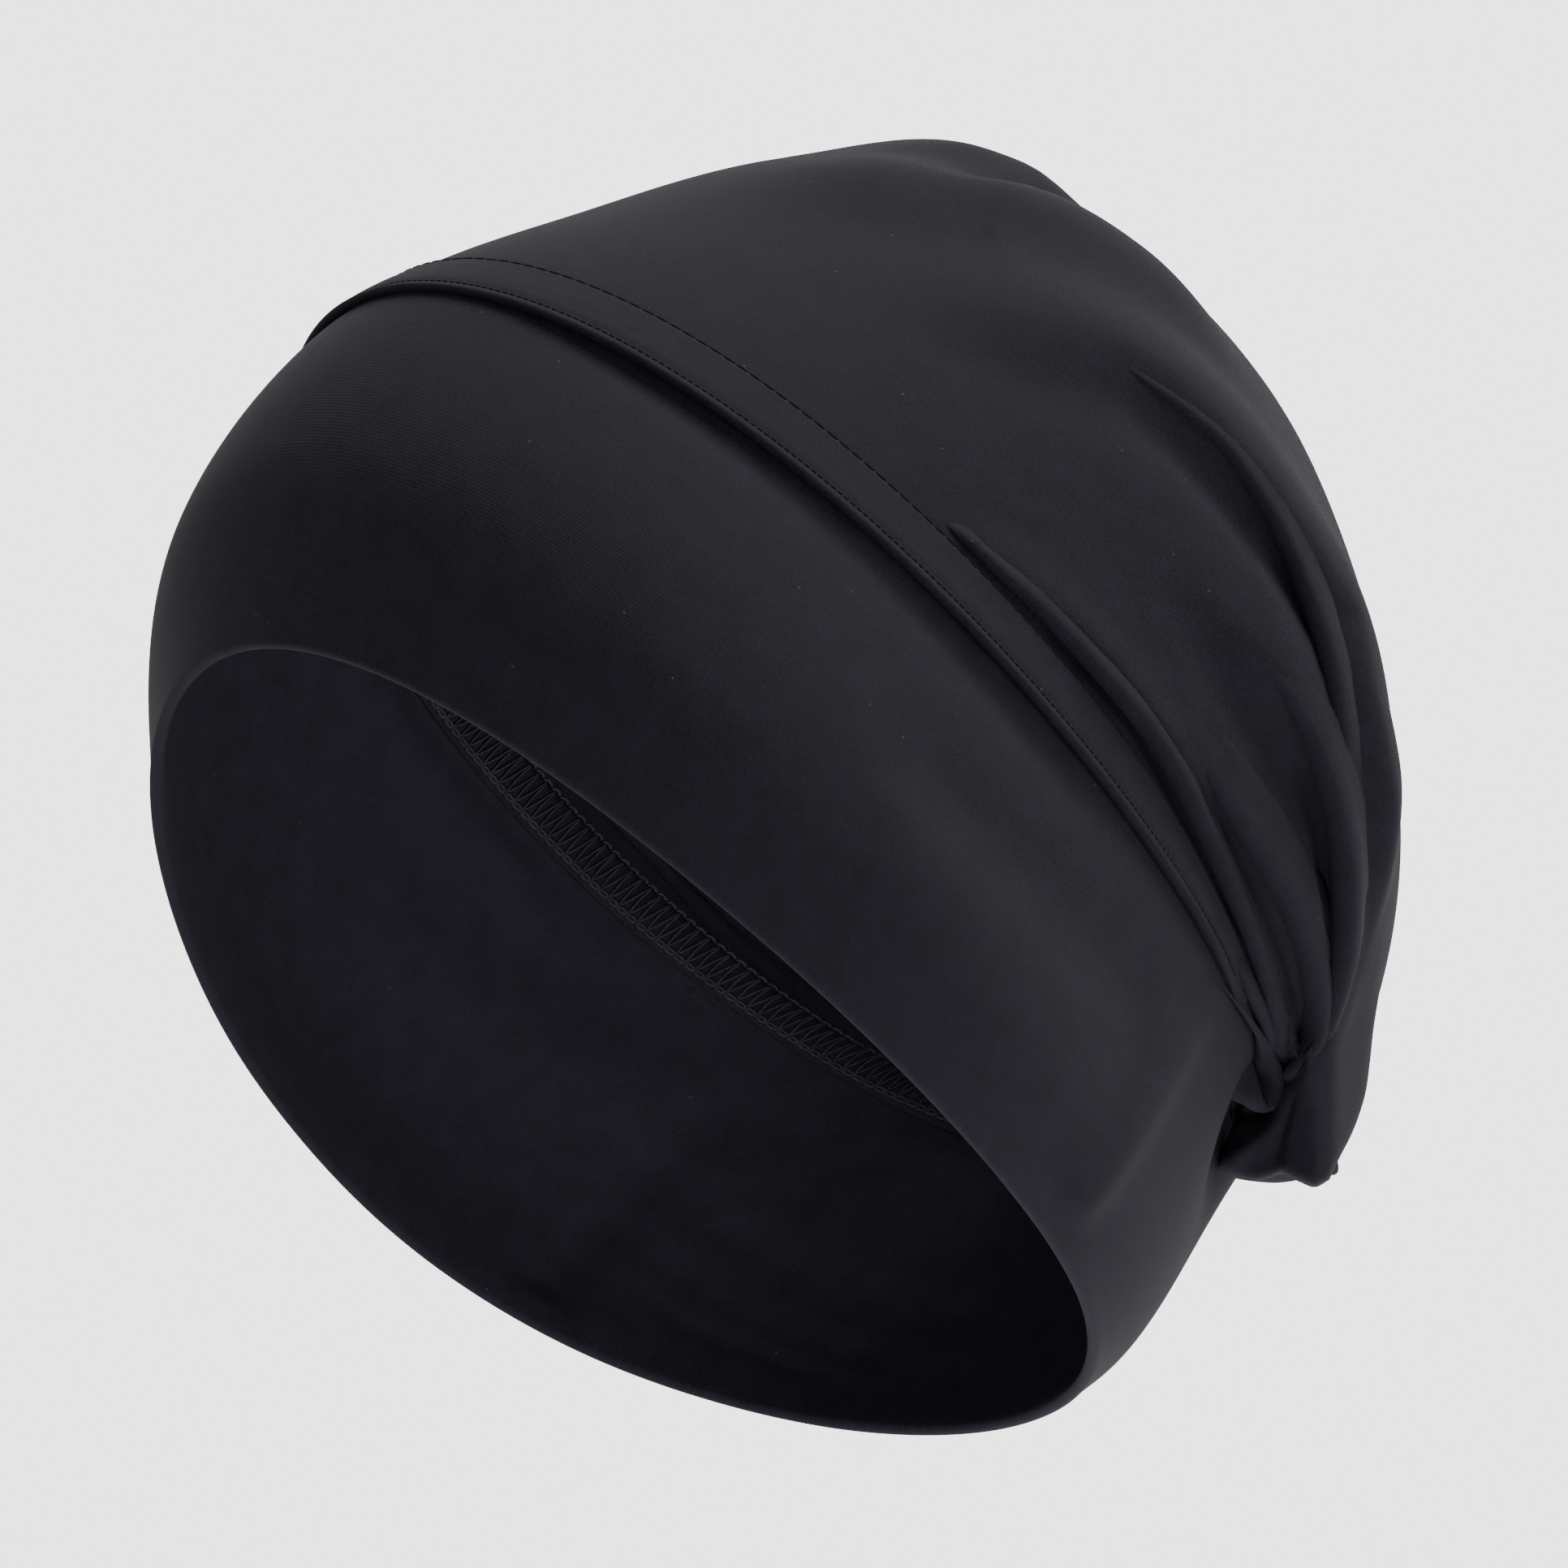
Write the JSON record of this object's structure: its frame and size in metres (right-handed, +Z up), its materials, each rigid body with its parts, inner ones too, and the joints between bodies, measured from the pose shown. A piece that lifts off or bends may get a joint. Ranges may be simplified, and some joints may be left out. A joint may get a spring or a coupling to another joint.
{
  "type": "turban hat",
  "caption": "Slouchy stretch-knit turban cap: a wide double band under a crown gathered at both sides of the nape, with a hem strip over the seam and an inner seam allowance.",
  "frame": {"origin": "centre of the head opening, where the head goes in", "axes": "+Z up as worn, -Y towards the forehead, +X towards the wearer's left ear; the opening leans 36.5 degrees down to the nape"},
  "size_m": [0.1658, 0.2312, 0.2242],
  "materials": {
    "knit": "matt fine stretch jersey, charcoal black",
    "overlock": "matt overlocked seam allowance in matching thread, charcoal black"
  },
  "bodies": {
    "root": {"band": "knit", "crown": "knit", "hem_strip": "knit", "inner_seam": "overlock"}
  },
  "joints": []
}
